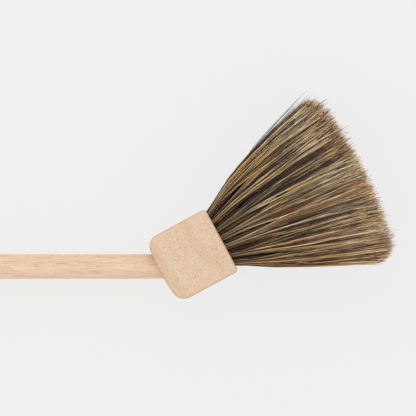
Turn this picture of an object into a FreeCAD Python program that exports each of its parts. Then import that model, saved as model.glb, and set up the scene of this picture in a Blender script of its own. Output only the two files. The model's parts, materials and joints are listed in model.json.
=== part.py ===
import FreeCAD, Part
import math
import os

# Long-handled sweeping brush, lying on its side, in millimetres.
# The handle runs along X towards the head, the fan of hair lies in the XY plane, and Z is up.
# Everything is drawn in the head's own frame first: X out of the block's face along the hair,
# Y across the face, origin at the middle of the face. place_in_row then turns it onto the handle.

# handle
handle_length = 750.0        # whole stick, with the stretch inside the block
handle_diameter = 24.0
handle_end_rounding = 8.0    # at the far end
handle_seat_step = 0.2       # the end in the block is turned down by this, on the radius
handle_seat_run_out = 8.0    # turned down this far outside the block's rear crown
handle_tip_chamfer = 1.0     # at the end inside the block
hanging_hole_diameter = 6.0
hanging_hole_inset = 30.0    # from the far end to the hole's axis

# head block
block_length = 67.2          # from the face with the hair to the crown of the rear side
block_height = 68.5
block_thickness = 45.0
rear_crown = 3.0             # how far the rear side bulges
front_corner_radius = 4.0
rear_top_corner_radius = 12.0
rear_bottom_corner_radius = 13.0
edge_rounding = 3.0          # round the outline of both flat sides

# handle socket
head_angle = 28.3            # between the handle and the direction of the hair, in degrees
socket_offset = 6.7          # where the handle's axis meets the rear crown, above the middle
socket_depth = 42.0          # along the handle's axis from there
socket_clearance = 0.1       # glue line, on the radius
socket_end_gap = 0.2

# tufts
columns = 7                  # in the full rows, one fewer in the rows between
rows = 5
end_margin = 7.25            # from the block's ends to the outer holes' axes, on average
side_margin = 5.5            # from the block's flat sides to the outer holes' axes
pattern_offset = 1.5         # the pattern sits this far above the middle of the face
tuft_hole_diameter = 5.5
tuft_hole_depth = 12.0
tuft_hole_clearance = 0.1    # on the radius
tuft_end_gap = 0.2
mouth_length = 2.0           # straight stretch of a tuft outside the face

# fan of hair
hair_reach = 154.5           # from the face to the crown of the trimmed edge
trim_radius = 290.0
trim_centre_offset = 5.0     # the trimmed edge's centre, above the middle of the face
fan_top = 81.0               # the fan's upper and lower tips, across the face
fan_bottom = -96.0
fan_tip_thickness = 54.0
fan_root_angle = 30.0        # how far the outer hair leans out at the face
fan_top_tip_angle = 10.0     # and at its tips
fan_bottom_tip_angle = -22.0
fan_root_tilt = 6.0          # the same, through the thickness
fan_tip_tilt = 1.5
tuft_gap = 0.6               # between neighbouring tufts
section_stations = (0.0, 0.2, 0.45, 0.7, 1.0)

# anchors
anchor_bite = 0.75           # into the wood on each side of the hole
anchor_height = 2.0
anchor_thickness = 0.4
anchor_inset = 1.2           # from the bottom of the hole
anchor_clearance = 0.05

z_axis = FreeCAD.Vector(0, 0, 1)
origin = FreeCAD.Vector(0, 0, 0)
handle_radius = handle_diameter / 2
handle_seat_radius = handle_radius - handle_seat_step
hole_radius = tuft_hole_diameter / 2
tuft_radius = hole_radius - tuft_hole_clearance
column_pitch = (block_height - 2 * end_margin) / (columns - 1)
row_pitch = (block_thickness - 2 * side_margin) / (rows - 1)
anchor_width = tuft_hole_diameter + 2 * anchor_bite


def direction(yaw, tilt=0.0):
    """Unit vector at yaw degrees in the fan's plane and tilt degrees out of it."""
    yaw, tilt = math.radians(yaw), math.radians(tilt)
    return FreeCAD.Vector(math.cos(yaw) * math.cos(tilt), math.sin(yaw) * math.cos(tilt), math.sin(tilt))


# The handle's axis in the head's frame, pointing into the block.
handle_axis = direction(-head_angle)
handle_entry = FreeCAD.Vector(-block_length, socket_offset, 0)
socket_bottom = handle_entry + handle_axis * socket_depth
handle_tip = socket_bottom - handle_axis * socket_end_gap
handle_far_end = handle_tip - handle_axis * handle_length


def tuft_places():
    """Yield row, column and the tuft's place in the fan, from -1 to 1 across and through it."""
    for row in range(rows):
        in_row = columns - row % 2
        for column in range(in_row):
            across = (2 * column - in_row + 1) / columns
            through = (2 * row - rows + 1) / rows
            yield row + 1, column + 1, across, through


def root_point(across, through):
    y = pattern_offset + across * column_pitch * columns / 2
    return FreeCAD.Vector(0, y, through * row_pitch * rows / 2)


def root_direction(across, through):
    return direction(fan_root_angle * across, fan_root_tilt * through)


def tip_point(across, through):
    y = (fan_top + fan_bottom) / 2 + across * (fan_top - fan_bottom) / 2
    reach = hair_reach - trim_radius + math.sqrt(trim_radius ** 2 - (y - trim_centre_offset) ** 2)
    return FreeCAD.Vector(reach, y, through * fan_tip_thickness / 2)


def tip_direction(across, through):
    middle = (fan_top_tip_angle + fan_bottom_tip_angle) / 2
    spread = (fan_top_tip_angle - fan_bottom_tip_angle) / 2
    return direction(middle + spread * across, fan_tip_tilt * through)


def fan_curve(across, through):
    """The line that hair follows from a hole's mouth to the trimmed edge."""
    start = root_point(across, through) + root_direction(across, through) * mouth_length
    end = tip_point(across, through)
    pull = (end - start).Length / 3
    curve = Part.BezierCurve()
    curve.setPoles([
        start,
        start + root_direction(across, through) * pull,
        end - tip_direction(across, through) * pull,
        end,
    ])
    return curve


def fan_section(across, through, station):
    """The oval that a tuft fills at one station, square to its own line."""
    middle = fan_curve(across, through)
    along = FreeCAD.Vector(*middle.tangent(station)[0]).normalize()
    side = z_axis.cross(along).normalize()
    upward = along.cross(side)
    if station == 0:
        half_width = half_height = tuft_radius
    else:
        half_cell = 1 / columns
        half_row = 1 / rows
        width = fan_curve(across + half_cell, through).value(station) - fan_curve(
            across - half_cell, through).value(station)
        height = fan_curve(across, through + half_row).value(station) - fan_curve(
            across, through - half_row).value(station)
        half_width = (abs(width.dot(side)) - tuft_gap) / 2
        half_height = (abs(height.dot(upward)) - tuft_gap) / 2
    return oval(middle.value(station), side, upward, half_width, half_height)


def oval(centre, side, upward, half_width, half_height):
    """A unit circle stretched to the half sizes, so that a round one is exact."""
    curve = Part.Circle(origin, z_axis, 1).toBSpline()
    for number, pole in enumerate(curve.getPoles(), 1):
        curve.setPole(number, centre + side * (half_width * pole.x) + upward * (half_height * pole.y))
    return Part.Wire([curve.toShape()])


def cylinder(start, axis, length, radius):
    return Part.makeCylinder(radius, length, start, axis)


def anchor_plate(across, through, clearance=0.0):
    """Flat metal anchor across the bottom of a tuft's hole, standing through the thickness."""
    axis = root_direction(across, through)
    side = z_axis.cross(axis).normalize()
    upward = axis.cross(side)
    height = anchor_height + 2 * clearance
    thickness = anchor_thickness + 2 * clearance
    width = anchor_width + 2 * clearance
    corner = root_point(across, through) - axis * (tuft_hole_depth - anchor_inset + clearance)
    corner -= side * (thickness / 2) + upward * (width / 2)
    outline = [corner, corner + side * thickness, corner + side * thickness + upward * width,
               corner + upward * width, corner]
    return Part.Face(Part.makePolygon(outline)).extrude(axis * height)


def tuft(across, through):
    """One bundle of hair: a round root in its hole and a bundle that widens to the trimmed edge."""
    axis = root_direction(across, through)
    root_length = tuft_hole_depth - tuft_end_gap
    mouth = root_point(across, through) + axis * mouth_length
    root = cylinder(mouth - axis * (root_length + mouth_length), axis, root_length + mouth_length, tuft_radius)
    root = root.cut(anchor_plate(across, through, anchor_clearance))
    sections = [fan_section(across, through, station) for station in section_stations]
    return root.fuse(Part.makeLoft(sections, True, False)).removeSplitter().Solids[0]


def head_block():
    """Rounded beech block with the handle's socket, the tuft holes and the anchors' slots."""
    top = block_height / 2
    rear = -(block_length - rear_crown)
    corners = [FreeCAD.Vector(x, y, -block_thickness / 2)
               for x, y in ((0, -top), (0, top), (rear, top), (rear, -top))]
    crown = FreeCAD.Vector(-block_length, 0, -block_thickness / 2)
    outline = Part.Wire([
        Part.makeLine(corners[0], corners[1]),
        Part.makeLine(corners[1], corners[2]),
        Part.Arc(corners[2], crown, corners[3]).toShape(),
        Part.makeLine(corners[3], corners[0]),
    ])
    block = Part.Face(outline).extrude(FreeCAD.Vector(0, 0, block_thickness))
    block = round_corner(block, 0, top, front_corner_radius)
    block = round_corner(block, 0, -top, front_corner_radius)
    block = round_corner(block, rear, top, rear_top_corner_radius)
    block = round_corner(block, rear, -top, rear_bottom_corner_radius)
    rims = [edge for edge in block.Edges
            if abs(abs(edge.CenterOfMass.z) - block_thickness / 2) < 1e-6]
    block = block.makeFillet(edge_rounding, rims)
    # the socket runs out well past the rear side, which is curved
    run_out = block_height
    socket = cylinder(socket_bottom - handle_axis * (socket_depth + run_out), handle_axis,
                      socket_depth + run_out, handle_seat_radius + socket_clearance)
    holes = []
    for row, column, across, through in tuft_places():
        axis = root_direction(across, through)
        start = root_point(across, through) - axis * tuft_hole_depth
        holes.append(cylinder(start, axis, tuft_hole_depth + tuft_hole_diameter, hole_radius))
        holes.append(anchor_plate(across, through, anchor_clearance))
    return block.cut([socket] + holes).Solids[0]


def round_corner(block, x, y, radius):
    """Round the upright edge of the block that stands at x, y."""
    edges = [edge for edge in block.Edges
             if abs(edge.CenterOfMass.x - x) < 1e-6 and abs(edge.CenterOfMass.y - y) < 1e-6]
    return block.makeFillet(radius, edges)


def handle():
    """Turned stick with a rounded far end, a hole to hang it by and a chamfered seat end."""
    seat_length = socket_depth - socket_end_gap + handle_seat_run_out
    shoulder = handle_tip - handle_axis * seat_length
    stick = cylinder(handle_far_end, handle_axis, handle_length - seat_length, handle_radius)
    stick = stick.makeFillet(handle_end_rounding, [round_edge(stick, handle_far_end)])
    stick = stick.fuse(cylinder(shoulder, handle_axis, seat_length, handle_seat_radius))
    stick = stick.makeChamfer(handle_tip_chamfer, [round_edge(stick, handle_tip)])
    hole_centre = handle_far_end + handle_axis * hanging_hole_inset
    hole = cylinder(hole_centre - z_axis * handle_diameter, z_axis, 2 * handle_diameter, hanging_hole_diameter / 2)
    return stick.cut(hole).Solids[0]


def round_edge(stick, centre):
    """The circular edge of the stick round one end."""
    return next(edge for edge in stick.Edges
                if edge.Closed and (edge.CenterOfMass - centre).Length < 1e-6)


def make_parts():
    parts = {"head_block": head_block(), "handle": handle()}
    anchors = []
    for row, column, across, through in tuft_places():
        parts[f"tuft_r{row}_c{column}"] = tuft(across, through)
        anchors.append(anchor_plate(across, through))
    parts["tuft_anchors"] = Part.makeCompound(anchors)
    return parts


def place_in_row(parts):
    """Turn the handle onto X and put the origin under the middle of the whole brush."""
    bounds = FreeCAD.BoundBox()
    for shape in parts.values():
        shape.rotate(origin, z_axis, head_angle)
        bounds.add(shape.optimalBoundingBox(False))
    for shape in parts.values():
        shape.translate(FreeCAD.Vector(-bounds.Center.x, -bounds.Center.y, -bounds.ZMin))
    return bounds


parts = make_parts()
bounds = place_in_row(parts)
os.makedirs("parts", exist_ok=True)
for name, shape in parts.items():
    if not shape.isValid():
        raise ValueError(f"{name} is not a valid solid")
    shape.exportStep(f"parts/{name}.step")
print("brush", round(bounds.XLength, 1), "x", round(bounds.YLength, 1), "x", round(bounds.ZLength, 1), "mm")
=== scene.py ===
import json
import math

import bpy
import numpy as np
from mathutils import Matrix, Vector


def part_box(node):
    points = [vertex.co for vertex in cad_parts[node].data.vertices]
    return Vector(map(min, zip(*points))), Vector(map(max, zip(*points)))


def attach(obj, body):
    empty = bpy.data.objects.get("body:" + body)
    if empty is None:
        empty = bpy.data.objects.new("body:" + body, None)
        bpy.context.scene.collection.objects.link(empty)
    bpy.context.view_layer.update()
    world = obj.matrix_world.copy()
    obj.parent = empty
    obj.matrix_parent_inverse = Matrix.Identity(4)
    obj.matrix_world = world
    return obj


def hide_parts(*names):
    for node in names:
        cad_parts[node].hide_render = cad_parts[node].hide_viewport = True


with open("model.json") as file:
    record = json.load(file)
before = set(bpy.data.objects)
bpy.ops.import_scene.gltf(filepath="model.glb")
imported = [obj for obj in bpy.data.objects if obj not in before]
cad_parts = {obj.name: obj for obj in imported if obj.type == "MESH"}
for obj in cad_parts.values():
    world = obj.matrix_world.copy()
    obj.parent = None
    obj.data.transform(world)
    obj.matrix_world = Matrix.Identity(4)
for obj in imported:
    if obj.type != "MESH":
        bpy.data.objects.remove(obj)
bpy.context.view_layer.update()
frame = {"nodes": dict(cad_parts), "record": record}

nodes = frame["nodes"]
mounts = {mount["name"]: mount for mount in frame["record"]["mounts"]}
millimetre = 0.001
print("frame loaded:", len(nodes), "nodes")


def linearColour(hexValue):
    # sRGB hex to the linear colour that the shaders work in
    channels = [int(hexValue[i:i + 2], 16) / 255 for i in (1, 3, 5)]
    return [c / 12.92 if c <= 0.04045 else ((c + 0.055) / 1.055) ** 2.4 for c in channels] + [1.0]


def addNode(tree, kind, settings=None, inputs=None):
    # settings are the node's own, inputs are values or the sockets that feed them
    node = tree.nodes.new(kind)
    for name, value in (settings or {}).items():
        setattr(node, name, value)
    for name, value in (inputs or {}).items():
        if isinstance(value, bpy.types.NodeSocket):
            tree.links.new(value, node.inputs[name])
        else:
            node.inputs[name].default_value = value
    return node


def fillRamp(ramp, stops):
    # stops are (place, hex) pairs
    elements = ramp.color_ramp.elements
    while len(elements) < len(stops):
        elements.new(0.5)
    for element, (place, hexValue) in zip(elements, stops):
        element.position = place
        element.color = linearColour(hexValue)


def newMaterial(name, roughness, ior=1.5, specular=0.5):
    material = bpy.data.materials.new(name)
    material.use_nodes = True
    tree = material.node_tree
    shader = tree.nodes["Principled BSDF"]
    shader.inputs["Roughness"].default_value = roughness
    shader.inputs["IOR"].default_value = ior
    shader.inputs["Specular IOR Level"].default_value = specular
    return material, tree, shader


def dressNode(name, material):
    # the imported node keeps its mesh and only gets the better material
    piece = nodes[name]
    for slot in piece.material_slots:
        slot.material = material
    if not piece.material_slots:
        piece.data.materials.append(material)


headValues = {
    "angle": math.radians(28.3),         # from the handle to the direction of the hair
    "blockLength": 67.2 * millimetre,
}
alongHead = Vector((math.cos(headValues["angle"]), math.sin(headValues["angle"]), 0))
acrossHead = Vector((-math.sin(headValues["angle"]), math.cos(headValues["angle"]), 0))
blockLow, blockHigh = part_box("head_block")
blockHalfThickness = (blockHigh.z - blockLow.z) / 2
faceMiddle = Vector(mounts["block_side"]["pos_m"]) + alongHead * (headValues["blockLength"] / 2)
faceMiddle.z = (blockLow.z + blockHigh.z) / 2
gripMiddle = Vector(mounts["handle_grip"]["pos_m"])

beechValues = {
    "line": "#C28C61",                   # the thin dark streaks
    "fleck": "#936649",                  # the ends of the rays
    "edge": "#C4925C",                   # where wax gathers round the block's edges
    "lateWood": "#EFDCCB",               # painted shade on the block's rounded edges, darker and warmer than its faces
    "cloudTints": [(0.3, "#FFECD3"), (0.5, "#FFFFFF"), (0.7, "#F4E8D8")],
    "ringWidth": 2.6 * millimetre,       # one year's growth
    "swayLength": 18.18 * millimetre,
    "cloudWidth": 20.83 * millimetre,
    "poresInShade": 2.4,                 # so many pores wide is one soft streak
    "poresInLine": 1.9,
    "linesFrom": 0.56,                   # a higher start leaves fewer streaks
    "linesTo": 0.72,
    "fleckSize": 0.4,                    # the largest one, against the space between them
    "dullPores": 0.08,                   # added to the roughness
    "waxedRidges": 0.06,                 # taken off it
    "grainDepth": 0.05 * millimetre,
}


def beechMaterial(name, look):
    # Fagus wood, pale pinkish cream, close even grain with small brown ray flecks, sanded and waxed:
    # the eye gets faint wavy streaks, short darker dashes and a soft dull shine
    v = beechValues
    material, tree, shader = newMaterial(name, look["roughness"], ior=1.53, specular=0.3)
    place = addNode(tree, "ShaderNodeTexCoord")
    # the grain runs along the mapping's own X, so everything is drawn long that way
    grain = addNode(tree, "ShaderNodeMapping", {"vector_type": "TEXTURE"},
                    {"Vector": place.outputs["Object"], "Location": look["pith"],
                     "Rotation": (0, 0, look["turn"])})
    sway = addNode(tree, "ShaderNodeTexNoise", None,
                   {"Vector": grain.outputs["Vector"], "Scale": 1 / v["swayLength"], "Detail": 2.0})
    swayed = addNode(tree, "ShaderNodeVectorMath", {"operation": "MULTIPLY_ADD"},
                     {0: sway.outputs["Color"], 1: (0, look["sway"], look["sway"]),
                      2: grain.outputs["Vector"]})
    longWays = addNode(tree, "ShaderNodeVectorMath", {"operation": "MULTIPLY"},
                       {0: swayed.outputs["Vector"], 1: (1 / look["stretch"], 1, 1)})
    pores = addNode(tree, "ShaderNodeTexNoise", None,
                    {"Vector": longWays.outputs["Vector"],
                     "Scale": 1 / (v["poresInShade"] * look["poreWidth"]),
                     "Detail": 3.0, "Roughness": 0.6})
    base = addNode(tree, "ShaderNodeValToRGB", None, {"Fac": pores.outputs["Fac"]})
    fillRamp(base, [(0.28, look["dark"]), (0.47, look["middle"]), (0.68, look["pale"])])

    # growth rings round the pith, wide and faint
    parts = addNode(tree, "ShaderNodeSeparateXYZ", None, {"Vector": swayed.outputs["Vector"]})
    squareY = addNode(tree, "ShaderNodeMath", {"operation": "MULTIPLY"},
                      {0: parts.outputs["Y"], 1: parts.outputs["Y"]})
    squareZ = addNode(tree, "ShaderNodeMath", {"operation": "MULTIPLY_ADD"},
                      {0: parts.outputs["Z"], 1: parts.outputs["Z"], 2: squareY.outputs[0]})
    radius = addNode(tree, "ShaderNodeMath", {"operation": "SQRT"}, {0: squareZ.outputs[0]})
    rings = addNode(tree, "ShaderNodeMath", {"operation": "MULTIPLY"},
                    {0: radius.outputs[0], 1: 1 / v["ringWidth"]})
    wave = addNode(tree, "ShaderNodeMath", {"operation": "PINGPONG"}, {0: rings.outputs[0], 1: 1.0})
    ringShare = addNode(tree, "ShaderNodeMath", {"operation": "MULTIPLY"},
                        {0: wave.outputs[0], 1: look["rings"]})
    ringed = addNode(tree, "ShaderNodeMix", {"data_type": "RGBA", "blend_type": "MULTIPLY"},
                     {"Factor": ringShare.outputs[0], 6: base.outputs["Color"],
                      7: linearColour(v["lateWood"])})

    # thin darker streaks
    fine = addNode(tree, "ShaderNodeTexNoise", None,
                   {"Vector": longWays.outputs["Vector"],
                    "Scale": 1 / (v["poresInLine"] * look["poreWidth"]),
                    "Detail": 2.0, "Roughness": 0.7, "Distortion": 0.4})
    lineShare = addNode(tree, "ShaderNodeMapRange", None,
                        {"Value": fine.outputs["Fac"], "From Min": v["linesFrom"],
                         "From Max": v["linesTo"], "To Min": 0.0, "To Max": look["lines"]})
    lined = addNode(tree, "ShaderNodeMix", {"data_type": "RGBA"},
                    {"Factor": lineShare.outputs["Result"], 6: ringed.outputs[2],
                     7: linearColour(v["line"])})

    # ray flecks, short dashes here and there
    fleckPlace = addNode(tree, "ShaderNodeVectorMath", {"operation": "MULTIPLY"},
                         {0: grain.outputs["Vector"], 1: (1 / look["fleckStretch"], 1, 1)})
    flecks = addNode(tree, "ShaderNodeTexVoronoi", None,
                     {"Vector": fleckPlace.outputs["Vector"], "Scale": 1 / look["fleckPitch"]})
    fleckKind = addNode(tree, "ShaderNodeSeparateColor", None, {"Color": flecks.outputs["Color"]})
    fleckSize = addNode(tree, "ShaderNodeMath", {"operation": "MULTIPLY"},
                        {0: fleckKind.outputs["Red"], 1: v["fleckSize"]})
    fleckShare = addNode(tree, "ShaderNodeMapRange", None,
                         {"Value": flecks.outputs["Distance"], "From Min": fleckSize.outputs[0],
                          "From Max": 0.0, "To Min": 0.0, "To Max": look["flecks"]})
    flecked = addNode(tree, "ShaderNodeMix", {"data_type": "RGBA"},
                      {"Factor": fleckShare.outputs["Result"], 6: lined.outputs[2],
                       7: linearColour(v["fleck"])})

    # soft clouds along the grain, pinkish here and yellowish there
    clouds = addNode(tree, "ShaderNodeTexNoise", None,
                     {"Vector": longWays.outputs["Vector"], "Scale": 1 / v["cloudWidth"], "Detail": 2.0})
    cloudTint = addNode(tree, "ShaderNodeValToRGB", None, {"Fac": clouds.outputs["Fac"]})
    fillRamp(cloudTint, v["cloudTints"])
    colour = addNode(tree, "ShaderNodeMix", {"data_type": "RGBA", "blend_type": "MULTIPLY"},
                     {"Factor": look["clouds"], 6: flecked.outputs[2], 7: cloudTint.outputs["Color"]})
    # painted shade on the block's rounded edges
    if "edge" in look:
        colour = paintedEdgeShade(tree, look, place, colour)
    tree.links.new(colour.outputs[2], shader.inputs["Base Color"])
    roughly = addNode(tree, "ShaderNodeMapRange", None,
                      {"Value": pores.outputs["Fac"], "From Min": 0.3, "From Max": 0.7,
                       "To Min": look["roughness"] + v["dullPores"],
                       "To Max": look["roughness"] - v["waxedRidges"]})
    tree.links.new(roughly.outputs["Result"], shader.inputs["Roughness"])
    bump = addNode(tree, "ShaderNodeBump", None,
                   {"Height": fine.outputs["Fac"], "Strength": 0.2, "Distance": v["grainDepth"]})
    tree.links.new(bump.outputs["Normal"], shader.inputs["Normal"])
    return material


def paintedEdgeShade(tree, look, place, colour):
    # painted shade: the block's rounded edges are warmer than its faces, and its sides are a little
    # warmer
    spot = addNode(tree, "ShaderNodeSeparateXYZ", None, {"Vector": place.outputs["Object"]})
    height = addNode(tree, "ShaderNodeMath", {"operation": "SUBTRACT"},
                     {0: spot.outputs["Z"], 1: faceMiddle.z})
    fromMiddle = addNode(tree, "ShaderNodeMath", {"operation": "ABSOLUTE"}, {0: height.outputs[0]})
    onShadedEdge = addNode(tree, "ShaderNodeMapRange", {"interpolation_type": "SMOOTHSTEP"},
                     {"Value": fromMiddle.outputs[0], "From Min": look["edgeFrom"],
                      "From Max": look["edgeTo"], "To Min": 0.0, "To Max": look["edge"]})
    onSide = addNode(tree, "ShaderNodeMapRange", {"interpolation_type": "SMOOTHSTEP"},
                     {"Value": fromMiddle.outputs[0], "From Min": look["edgeTo"],
                      "From Max": look["sideFrom"], "To Min": 1.0, "To Max": look["side"]})
    edgeShadeShare = addNode(tree, "ShaderNodeMath", {"operation": "MULTIPLY"},
                        {0: onShadedEdge.outputs["Result"], 1: onSide.outputs["Result"]})
    return addNode(tree, "ShaderNodeMix", {"data_type": "RGBA"},
                   {"Factor": edgeShadeShare.outputs[0], 6: colour.outputs[2],
                    7: linearColour(beechValues["edge"])})


handleLook = {
    "pale": "#F4DAC0",
    "middle": "#E8CBAE",
    "dark": "#D2AA87",
    "poreWidth": 0.42 * millimetre,      # real ones are 0.1 mm, drawn coarser so that they show
    "roughness": 0.55,
    "turn": 0.0,
    "pith": (gripMiddle.x, gripMiddle.y - 21 * millimetre, gripMiddle.z - 30 * millimetre),
    "sway": 1.6 * millimetre,
    "stretch": 22.0,
    "rings": 0.3,
    "lines": 0.62,
    "flecks": 0.45,
    "clouds": 0.4,
    "fleckStretch": 4.0,
    "fleckPitch": 1.7 * millimetre,
}
blockLook = {
    "pale": "#EED8C0",
    "middle": "#E0C6AB",
    "dark": "#CBA582",
    "poreWidth": 0.26 * millimetre,      # drawn coarser here too
    "roughness": 0.6,
    "turn": headValues["angle"] + math.pi / 2,
    "pith": (faceMiddle.x - 50 * millimetre, faceMiddle.y + 20 * millimetre,
             faceMiddle.z - 90 * millimetre),
    "sway": 0.8 * millimetre,
    "stretch": 4.0,
    "rings": 0.15,
    "lines": 0.5,
    "flecks": 1.0,
    "clouds": 0.75,
    "fleckStretch": 2.6,
    "fleckPitch": 1.0 * millimetre,
    "edge": 0.65,                        # how much of the painted edge shade
    "side": 0.25,                        # so much of that goes on over the sides
    "edgeFrom": blockHalfThickness - 0.4 * millimetre,
    "edgeTo": blockHalfThickness - 2.0 * millimetre,
    "sideFrom": blockHalfThickness - 5.5 * millimetre,
}
dressNode("handle", beechMaterial("beech turned and waxed", handleLook))
dressNode("head_block", beechMaterial("beech sanded and waxed", blockLook))
print("beech on the handle and the block")

steelValues = {
    "roughness": 0.38,
    "shades": [(0.3, "#8C8C8A"), (0.7, "#B4B3AF")],
    "rollingWidth": 0.3 * millimetre,
    "rollingStretch": 20.0,
}


def steelStripMaterial():
    # cold rolled flat steel strip: grey metal with faint rolling lines along it
    v = steelValues
    material, tree, shader = newMaterial("steel strip rolled", v["roughness"])
    shader.inputs["Metallic"].default_value = 1.0
    place = addNode(tree, "ShaderNodeTexCoord")
    lines = addNode(tree, "ShaderNodeMapping", None,
                    {"Vector": place.outputs["Object"], "Scale": (1, 1, 1 / v["rollingStretch"])})
    rolling = addNode(tree, "ShaderNodeTexNoise", None,
                      {"Vector": lines.outputs["Vector"], "Scale": 1 / v["rollingWidth"], "Detail": 2.0})
    shade = addNode(tree, "ShaderNodeValToRGB", None, {"Fac": rolling.outputs["Fac"]})
    fillRamp(shade, v["shades"])
    tree.links.new(shade.outputs["Color"], shader.inputs["Base Color"])
    return material


dressNode("tuft_anchors", steelStripMaterial())
print("steel on the anchors")

hairValues = {
    # the holes, in staggered rows
    "columns": 7,
    "rows": 5,
    "columnPitch": 9.0 * millimetre,
    "rowPitch": 8.5 * millimetre,
    "patternOffset": 1.5 * millimetre,
    "rootRadius": 2.6 * millimetre,      # of the bundle where it leaves its hole
    "rootDepth": 8.0 * millimetre,       # how far the strands start inside the hole
    "mouth": 2.0 * millimetre,
    # the fan
    "reach": 154.5 * millimetre,
    "trimRadius": 290.0 * millimetre,
    "trimOffset": 5.0 * millimetre,
    "top": 81.0 * millimetre,            # tips across the fan
    "bottom": -96.0 * millimetre,
    "tipThickness": 54.0 * millimetre,
    "rootAngle": 30.0,                   # degrees, at the fan's outer edges
    "topTipAngle": 10.0,
    "bottomTipAngle": -22.0,
    "rootTilt": 6.0,
    "tipTilt": 1.5,
    # how far the scissors left the hair, from the fan's bottom edge to its top edge
    "trimAt": [-1.0, -0.8, -0.6, -0.3, 0.0, 0.4, 0.75, 1.0],
    "trimTo": [1.01, 1.008, 0.992, 0.984, 0.982, 0.98, 0.988, 1.002],
    "lockTrim": 0.019,
    "strandTrim": 0.008,
    "shortHairs": 0.05,                  # how much shorter the short ones are, on average
    "cornerFrom": 0.79,                  # where the trimmed edge starts to round off
    "topCorner": 0.05,
    "bottomCorner": 0.09,
    "cornerPower": 2.7,
    # the strands of one tuft
    "strands": 600,
    "clumps": 8,                         # wide bunches in a tuft, each a shade of its own
    "locks": 150,                        # small bunches in a tuft that cling together
    "strandRadius": 0.2 * millimetre,    # real hair is half as thick or less, drawn coarser to show
    "strandThickness": ([0, 0.15, 0.75, 1], [0.6, 1, 1, 0.42]),     # along a strand, in radii
    "thicknessRange": (0.75, 1.25),
    "spread": 1.15,                      # a bundle opens past its share of the fan by this
    "scatter": 0.1,
    "lockScatter": 0.05,
    "wander": 0.1,
    "lockWander": 0.3,
    "wanderPower": 1.5,
    "loners": 0.16,                      # this many keep to no lock
    "lonerWander": 3.5,
    "cling": 0.85,                       # how tightly a lock holds together half way along
    "clingFrom": (0.1, 0.6),
    "clingTo": (0.96, 1.36),
    "opensBy": 0.48,                     # a bundle has opened out by here
    "edgeOpensBy": 0.26,                 # and here at the fan's two edges
    "edgeFrom": 0.7,
    "acrossLimit": (0.92, 1.01),
    "throughLimit": (0.8, 0.9),
    "topStrays": 0.004,                  # a few dark hairs stand off the fan's two edges
    "bottomStrays": 0.0015,
    "strayFrom": 0.96,
    "strayAway": 0.15,
    "strayPower": 1.15,
    "waves": (0.6, 2.6),                 # in the length of a hair
    "waveHeight": 0.9 * millimetre,
    "frayFrom": 0.74,                    # split tips turn every way from here on
    "fray": 1.4 * millimetre,
    "frayThrough": 0.5,
    "frayPower": 1.6,
    # shades: about a third black, a third brown and russet, the rest tan and straw
    "shadeShares": [0, 0.34, 0.56, 0.76, 0.9, 1],
    "shadeTones": [0.0, 0.2, 0.46, 0.66, 0.84, 1.0],
    "tuftShade": 0.05,
    "clumpShade": 0.13,
    "strandShade": 0.02,
    "paintedInnerShade": 0.14,                   # painted shade: the middle rows are that much darker than the outer ones, where less light reaches
    "coarse": 0.24,                      # this many are coarse, nearly black or nearly straw
    "coarseThickness": 2.0,
    "coarsePale": (0.78, 1),
    "coarseDark": (0, 0.26),
    "paleShare": 0.5,
    "strayDark": (0.05, 0.3),
    "bodyShades": [(0.0, "#110F14"), (0.12, "#1D1A1F"), (0.22, "#2A2627"), (0.3, "#47251B"),
                   (0.38, "#40352C"), (0.46, "#853A1F"), (0.54, "#5F4C38"), (0.62, "#A46029"),
                   (0.7, "#85704D"), (0.78, "#CB8E40"), (0.86, "#BC9E69"), (0.93, "#E7BD74"),
                   (1.0, "#EEDBB6")],
    "tipShades": [(0.0, "#3F3028"), (0.22, "#70543E"), (0.46, "#B88657"), (0.62, "#DEB57C"),
                  (0.8, "#EFD29C"), (1.0, "#FAEED4")],
    "paleTipsFrom": 0.4,
    "wornLength": 17.17 * millimetre,    # of one dusty stretch
    "wornAcross": 60.0,                  # so that no two hairs are worn in the same places
    "worn": (1.05, 2.15),
    # darker towards the block, painted shade where the tufts crowd together, and dry and pale at the
    # tips
    "rootShadeAndDryTips": [(0, 0.32), (0.1, 0.5), (0.25, 0.58), (0.5, 0.56), (0.76, 0.54), (0.88, 0.82), (1, 1)],
    "palest": 0.96,                      # how much red light the palest straw gives back
    "mapWidth": 0.006,                   # of a strand on its map, wide enough to be baked
    "seed": 7,
}
# the rings of one strand, closer together where it leaves the block and where it frays
stations = np.array([-1.0, 0.0, 0.07, 0.16, 0.27, 0.39, 0.52, 0.65, 0.77, 0.88, 0.95, 1.0])


def unitDirection(yaw, tilt):
    yaw, tilt = np.radians(yaw), np.radians(tilt)
    return np.stack([np.cos(yaw) * np.cos(tilt), np.sin(yaw) * np.cos(tilt), np.sin(tilt)], -1)


def fanLine(across, through, along):
    # the way hair leans and curves: across and through run from -1 to 1, along from 0 to 1
    v = hairValues
    rootY = v["patternOffset"] + across * v["columnPitch"] * v["columns"] / 2
    root = np.stack([np.zeros_like(across), rootY, through * v["rowPitch"] * v["rows"] / 2], -1)
    outward = unitDirection(v["rootAngle"] * across, v["rootTilt"] * through)
    tipY = (v["top"] + v["bottom"]) / 2 + across * (v["top"] - v["bottom"]) / 2
    tipX = v["reach"] - v["trimRadius"] + np.sqrt(v["trimRadius"] ** 2 - (tipY - v["trimOffset"]) ** 2)
    tip = np.stack([tipX, tipY, through * v["tipThickness"] / 2], -1)
    tipMiddle = (v["topTipAngle"] + v["bottomTipAngle"]) / 2
    tipSpread = (v["topTipAngle"] - v["bottomTipAngle"]) / 2
    arriving = unitDirection(tipMiddle + tipSpread * across, v["tipTilt"] * through)
    start = root + outward * v["mouth"]
    pull = np.linalg.norm(tip - start, axis=-1, keepdims=True) / 3
    s = along[..., None]
    return ((1 - s) ** 3 * start + 3 * (1 - s) ** 2 * s * (start + outward * pull)
            + 3 * (1 - s) * s ** 2 * (tip - arriving * pull) + s ** 3 * tip)


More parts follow.
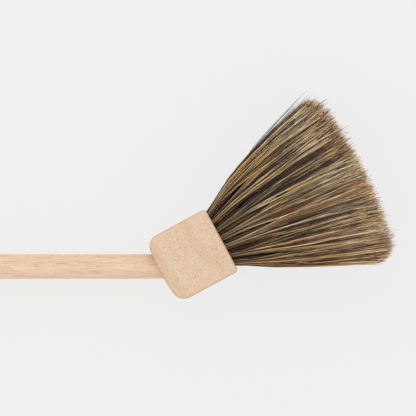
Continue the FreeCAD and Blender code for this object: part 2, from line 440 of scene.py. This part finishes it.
def modelStrand():
    # one hair, three sided, a unit thick and a unit long, with a ring at each station
    bpy.ops.object.select_all(action="DESELECT")
    bpy.ops.mesh.primitive_cone_add(vertices=3, radius1=1, radius2=1, depth=1, location=(0, 0, 0.5))
    strand = bpy.context.object
    strand.name = "strand"
    bpy.ops.object.mode_set(mode="EDIT")
    bpy.ops.mesh.select_all(action="DESELECT")
    bpy.ops.mesh.select_mode(type="EDGE")
    bpy.ops.object.mode_set(mode="OBJECT")
    mesh = strand.data
    for edge in mesh.edges:
        ends = [mesh.vertices[i].co.z for i in edge.vertices]
        edge.select = abs(ends[0] - ends[1]) > 0.5
    bpy.ops.object.mode_set(mode="EDIT")
    bpy.ops.mesh.subdivide(number_cuts=len(stations) - 2)
    bpy.ops.object.mode_set(mode="OBJECT")
    bpy.ops.object.transform_apply(location=True, rotation=True, scale=True)
    return strand


strand = modelStrand()
strandPlaces = np.array([v.co for v in strand.data.vertices])
strandRing = np.rint(strandPlaces[:, 2] * (len(stations) - 1)).astype(int)
strandFaces = [list(p.vertices) for p in strand.data.polygons]
bpy.data.objects.remove(strand)
print("one strand modelled:", len(strandPlaces), "points")


def hairMaterial():
    # mixed undyed horsehair and bristle, black, brown, russet and straw: a thin scaly fibre with a
    # soft shine along it, and a paler, split, dull tip. The shade is read from the strand's own map:
    # U is which hair it is, V is how far along it
    v = hairValues
    material, tree, shader = newMaterial("horsehair undyed mixed", 0.5, ior=1.55, specular=0.4)
    place = addNode(tree, "ShaderNodeUVMap", {"uv_map": "OFBake"})
    parts = addNode(tree, "ShaderNodeSeparateXYZ", None, {"Vector": place.outputs["UV"]})
    body = addNode(tree, "ShaderNodeValToRGB", None, {"Fac": parts.outputs["X"]})
    fillRamp(body, v["bodyShades"])
    tip = addNode(tree, "ShaderNodeValToRGB", None, {"Fac": parts.outputs["X"]})
    fillRamp(tip, v["tipShades"])
    paler = addNode(tree, "ShaderNodeMapRange", {"interpolation_type": "SMOOTHSTEP"},
                    {"Value": parts.outputs["Y"], "From Min": v["paleTipsFrom"], "From Max": 1.0,
                     "To Min": 0.0, "To Max": 1.0})
    mixed = addNode(tree, "ShaderNodeMix", {"data_type": "RGBA"},
                    {"Factor": paler.outputs["Result"], 6: body.outputs["Color"],
                     7: tip.outputs["Color"]})
    # worn and dusty stretches, a different place on each hair
    wornAlong = v["reach"] / v["wornLength"]
    worn = addNode(tree, "ShaderNodeMapping", None,
                   {"Vector": place.outputs["UV"], "Scale": (v["wornAcross"], wornAlong, 1.0)})
    wornShade = addNode(tree, "ShaderNodeTexNoise", {"noise_dimensions": "2D"},
                        {"Vector": worn.outputs["Vector"], "Scale": 1.0, "Detail": 2.0})
    wornShare = addNode(tree, "ShaderNodeMapRange", None,
                        {"Value": wornShade.outputs["Fac"], "From Min": 0.3, "From Max": 0.7,
                         "To Min": v["worn"][0], "To Max": v["worn"][1]})
    # painted shade darkens the hair towards the block; the dry tips are paler
    rootShadeAndDryTips = addNode(tree, "ShaderNodeFloatCurve", None, {"Value": parts.outputs["Y"]})
    curve = rootShadeAndDryTips.mapping.curves[0]
    first, *between, last = v["rootShadeAndDryTips"]
    for along, share in between:
        curve.points.new(along, share)
    curve.points[0].location = first
    curve.points[-1].location = last
    rootShadeAndDryTips.mapping.update()
    brightness = addNode(tree, "ShaderNodeMath", {"operation": "MULTIPLY"},
                         {0: wornShare.outputs["Result"], 1: rootShadeAndDryTips.outputs["Value"]})
    colour = addNode(tree, "ShaderNodeVectorMath", {"operation": "SCALE"},
                     {0: mixed.outputs[2], "Scale": brightness.outputs[0]})
    # red is always the strongest, and no straw gives back more than the palest does
    channels = addNode(tree, "ShaderNodeSeparateXYZ", None, {"Vector": colour.outputs["Vector"]})
    strongest = addNode(tree, "ShaderNodeMath", {"operation": "MAXIMUM"},
                        {0: channels.outputs["X"], 1: v["palest"]})
    keptShare = addNode(tree, "ShaderNodeMath", {"operation": "DIVIDE"},
                        {0: v["palest"], 1: strongest.outputs[0]})
    kept = addNode(tree, "ShaderNodeVectorMath", {"operation": "SCALE"},
                   {0: colour.outputs["Vector"], "Scale": keptShare.outputs[0]})
    tree.links.new(kept.outputs["Vector"], shader.inputs["Base Color"])
    return material


def discPoints(random, count):
    turn = random.uniform(0, 2 * math.pi, count)
    size = np.sqrt(random.uniform(0, 1, count))
    return np.stack([size * np.cos(turn), size * np.sin(turn)], -1)


def nearestOf(points, targets):
    return np.argmin(((points[:, None] - targets[None]) ** 2).sum(-1), axis=1)


def softLimit(values, limit):
    # leaves values alone up to the start and bends what is past it, so that nothing passes the end
    start, end = limit
    room = end - start
    size = np.abs(values)
    bent = np.where(size > start, start + room * np.tanh((size - start) / room), size)
    return np.sign(values) * bent


def hairShades(random, count):
    return np.interp(random.uniform(0, 1, count), hairValues["shadeShares"], hairValues["shadeTones"])


def towards(values, start, end):
    # 0 up to start, 1 from end on
    return np.clip((values - start) / (end - start), 0, 1)


def strandLines(random, across, through, shade, rowSpread):
    # the centre line, shade and thickness of every strand in one tuft
    v = hairValues
    count = v["strands"]

    # which lock and clump each one belongs to
    root = discPoints(random, count)
    locks = discPoints(random, v["locks"])
    lockOf = nearestOf(root, locks)
    clumps = discPoints(random, v["clumps"])
    clumpShade = shade + random.normal(0, v["clumpShade"], v["clumps"])
    clumpOf = nearestOf(locks, clumps)
    lockShade = np.clip(hairShades(random, v["locks"]) + clumpShade[clumpOf], 0, 1)
    lockDrift = random.normal(0, v["lockWander"], (v["locks"], 2))
    lockEnd = random.normal(0, v["lockTrim"], v["locks"])
    spread = root * v["spread"] + random.normal(0, v["scatter"], (count, 2))
    gathered = locks[lockOf] * v["spread"] + random.normal(0, v["lockScatter"], (count, 2))
    loner = random.uniform(0, 1, count) < v["loners"]
    wander = random.normal(0, v["wander"], (count, 2))
    wander *= np.where(loner, v["lonerWander"], 1)[:, None]
    wander += lockDrift[lockOf]

    # where it is cut
    trim = np.interp(across + root[:, 0] / v["columns"], v["trimAt"], v["trimTo"])
    endAt = trim + lockEnd[lockOf] + random.normal(0, v["strandTrim"], count)
    endAt -= random.exponential(v["shortHairs"], count)
    s = np.clip(stations, 0, 1)[None, :] * endAt[:, None]

    # the bundles open out slowly, but at the fan's two edges they lean out at once
    outer = (np.abs(across) > v["edgeFrom"]) & (root[:, :1] * across > 0)
    free = np.clip(s / np.where(outer, v["edgeOpensBy"], v["opensBy"]), 0, 1)
    free = free * free * (3 - 2 * free)
    cling = (v["cling"] * towards(s, *v["clingFrom"]) * (1 - towards(s, *v["clingTo"])))[..., None]
    grown = s ** v["wanderPower"]
    place = spread[:, None] * (1 - cling) + gathered[:, None] * cling
    place += wander[:, None] * grown[..., None]
    # the shorter rows open wider, so that the fan's edges close up
    acrossAt = (across + place[..., 0] / v["columns"]) * (1 + (rowSpread - 1) * grown)
    throughAt = through + place[..., 1] / v["rows"]
    acrossAt = softLimit(acrossAt, v["acrossLimit"])
    throughAt = softLimit(throughAt, v["throughLimit"])

    # the trimmed edge is rounded off at both ends of the fan
    corner = towards(np.abs(acrossAt[:, -1:]), v["cornerFrom"], 1)
    cornerCut = v["topCorner"] if across > 0 else v["bottomCorner"]
    s = s * (1 - cornerCut * corner ** v["cornerPower"])

    # the ones that stand off
    strayShare = 0
    if abs(across) > v["edgeFrom"]:
        strayShare = v["topStrays"] if across > 0 else v["bottomStrays"]
    stray = random.uniform(0, 1, count) < strayShare
    away = random.uniform(0.0, v["strayAway"], (count, 1)) * s ** v["strayPower"]
    acrossAt = np.where(stray[:, None], np.sign(across) * (v["strayFrom"] + away), acrossAt)

    # from a round bundle in its hole to the fan
    fanned = fanLine(acrossAt, throughAt, s)
    middle = fanLine(np.full_like(s, across), np.full_like(s, through), s)
    outward = unitDirection(v["rootAngle"] * across, v["rootTilt"] * through)
    side = np.cross([0, 0, 1], outward)
    side /= np.linalg.norm(side)
    upward = np.cross(outward, side)
    inHole = v["rootRadius"] * root[:, None]
    bundle = middle + inHole[..., :1] * side + inHole[..., 1:] * upward
    line = bundle * (1 - free[..., None]) + fanned * free[..., None]

    # a slow wave that grows towards the tip, then the split tip
    waves = random.uniform(*v["waves"], (count, 1))
    phase = random.uniform(0, 2 * math.pi, (count, 1))
    height = v["waveHeight"] * s / np.sqrt(waves)
    swing = height * (np.sin(2 * math.pi * waves * s + phase) - np.sin(phase))
    line += swing[..., None] * (side * np.cos(phase)[..., None] + upward * np.sin(phase)[..., None])
    frayed = np.clip((s - v["frayFrom"]) / (1 - v["frayFrom"]), 0, 1.2)[..., None] ** v["frayPower"]
    fray = frayed * random.normal(0, v["fray"], (count, 1, 2))
    line += fray[..., :1] * side + v["frayThrough"] * fray[..., 1:] * upward
    line[:, 0] = line[:, 1] - outward * v["rootDepth"]

    # shade and thickness
    tone = lockShade[lockOf] + random.normal(0, v["strandShade"], count)
    tone = np.where(loner, hairShades(random, count), tone)
    coarse = random.uniform(0, 1, count) < v["coarse"]
    pale = random.uniform(0, 1, count) < v["paleShare"]
    paleTone = random.uniform(*v["coarsePale"], count)
    darkTone = random.uniform(*v["coarseDark"], count)
    tone = np.where(coarse, np.where(pale, paleTone, darkTone), tone)
    thick = v["strandRadius"] * np.where(coarse, v["coarseThickness"], 1)
    thick = thick * random.uniform(*v["thicknessRange"], count)
    tone = np.where(stray, random.uniform(*v["strayDark"], count), tone)
    thick = np.where(stray, v["strandRadius"], thick)
    return line, s, np.clip(tone, 0.01, 0.99), thick[:, None]


def buildTuft(name, across, through, shade, rowSpread, random, material):
    line, s, tone, thick = strandLines(random, across, through, shade, rowSpread)
    v = hairValues
    count = len(line)
    size = len(strandPlaces)
    ring = strandRing

    # a copy of the strand along each line
    ahead = np.gradient(line, axis=1)
    ahead /= np.linalg.norm(ahead, axis=-1, keepdims=True)
    side = np.cross([0, 0, 1], ahead)
    side /= np.linalg.norm(side, axis=-1, keepdims=True)
    upward = np.cross(ahead, side)
    thick = thick * np.interp(s, *v["strandThickness"])
    turn = random.uniform(0, 2 * math.pi, count)[:, None]
    x = strandPlaces[:, 0] * np.cos(turn) - strandPlaces[:, 1] * np.sin(turn)
    y = strandPlaces[:, 0] * np.sin(turn) + strandPlaces[:, 1] * np.cos(turn)
    outOfLine = x[..., None] * side[:, ring] + y[..., None] * upward[:, ring]
    places = (line[:, ring] + thick[:, ring, None] * outOfLine).reshape(-1, 3)
    world = (np.array(faceMiddle) + places[:, :1] * np.array(alongHead)
             + places[:, 1:2] * np.array(acrossHead) + places[:, 2:] * np.array([0, 0, 1]))
    world[:, 2] = np.maximum(world[:, 2], v["strandRadius"])     # hair on the floor lies on it
    faces = [[k * size + i for i in face] for k in range(count) for face in strandFaces]
    mesh = bpy.data.meshes.new(name)
    mesh.from_pydata(world.tolist(), [], faces)
    mesh.polygons.foreach_set("use_smooth", np.ones(len(mesh.polygons), bool))

    # the map that the shade is read from
    around = np.arctan2(strandPlaces[:, 1], strandPlaces[:, 0]) / math.pi
    acrossMap = np.clip(tone[:, None] + v["mapWidth"] * around[None], 0, 1)
    alongMap = np.clip(s[:, ring], 0, 1)
    corners = np.zeros(len(mesh.loops), np.int32)
    mesh.loops.foreach_get("vertex_index", corners)
    uv = np.stack([acrossMap.reshape(-1), alongMap.reshape(-1)], -1)[corners]
    mesh.uv_layers.new(name="OFBake").data.foreach_set("uv", uv.astype(np.float32).reshape(-1))
    mesh.materials.append(material)
    piece = bpy.data.objects.new(name, mesh)
    bpy.context.scene.collection.objects.link(piece)
    return piece


def buildHair():
    v = hairValues
    random = np.random.default_rng(v["seed"])
    material = hairMaterial()
    for row in range(v["rows"]):
        inRow = v["columns"] - row % 2
        for column in range(inRow):
            across = (2 * column - inRow + 1) / v["columns"]
            through = (2 * row - v["rows"] + 1) / v["rows"]
            # each tuft's own random shade, less the painted shade of the middle rows
            shade = random.normal(0, v["tuftShade"]) - v["paintedInnerShade"] * (1 - abs(through))
            rowAndColumn = f"r{row + 1}_c{column + 1}"
            piece = buildTuft("hair_" + rowAndColumn, across, through, shade, v["columns"] / inRow,
                              random, material)
            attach(piece, "root")
            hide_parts("tuft_" + rowAndColumn)
        print("hair row", row + 1, "done")


buildHair()

stageValues = {
    "floorSize": 12.0,
    "floorColour": "#5A5A5A",            # little of it, so that shadows stay faint
    "floorGlow": 0.765,                  # the floor is lit from within, as a light table is
    "skyColour": "#F0F0F0",
    "skyStrength": 1.1,
    "keyPower": 6.0,
    "keySize": 1.4,
    "keyFrom": Vector((-0.3, 1.5, 1.5)),       # from the middle of the block's face
    "viewWidth": 404.4 * millimetre,     # across the picture, at the middle of the brush
    "viewMiddle": (-13.4 * millimetre, 30.9 * millimetre),   # from the middle of the block's face
    "cameraHeight": 4.0,
    "sensorWidth": 36.0,                 # in the camera's own millimetres
}


def buildFloor():
    v = stageValues
    bpy.ops.object.select_all(action="DESELECT")
    bpy.ops.mesh.primitive_plane_add(size=v["floorSize"], location=(0, 0, 0))
    floor = bpy.context.object
    floor.name = "floor"
    material, tree, shader = newMaterial("painted board matt", 0.9, ior=1.45, specular=0.0)
    shader.inputs["Base Color"].default_value = linearColour(v["floorColour"])
    shader.inputs["Emission Color"].default_value = (1, 1, 1, 1)
    shader.inputs["Emission Strength"].default_value = v["floorGlow"]
    floor.data.materials.append(material)


def buildLights():
    v = stageValues
    world = bpy.data.worlds.new("studio")
    world.use_nodes = True
    sky = world.node_tree.nodes["Background"]
    sky.inputs["Color"].default_value = linearColour(v["skyColour"])
    sky.inputs["Strength"].default_value = v["skyStrength"]
    bpy.context.scene.world = world
    bpy.ops.object.light_add(type="AREA", location=faceMiddle + v["keyFrom"])
    key = bpy.context.object
    key.name = "key"
    key.data.shape = "SQUARE"
    key.data.size = v["keySize"]
    key.data.energy = v["keyPower"]
    key.rotation_euler = (-v["keyFrom"]).to_track_quat("-Z", "Y").to_euler()


def buildCamera():
    # straight above, from far enough off that the view is nearly flat
    v = stageValues
    scene = bpy.context.scene
    fromFace = Vector((*v["viewMiddle"], v["cameraHeight"]))
    bpy.ops.object.camera_add(location=faceMiddle + fromFace, rotation=(0, 0, 0))
    camera = bpy.context.object
    camera.data.sensor_width = v["sensorWidth"]
    camera.data.lens = v["sensorWidth"] * v["cameraHeight"] / v["viewWidth"]
    camera.data.clip_end = 100
    scene.camera = camera
    scene.view_settings.view_transform = "Standard"
    scene.view_settings.look = "None"


buildFloor()
buildLights()
buildCamera()
print("stage done")
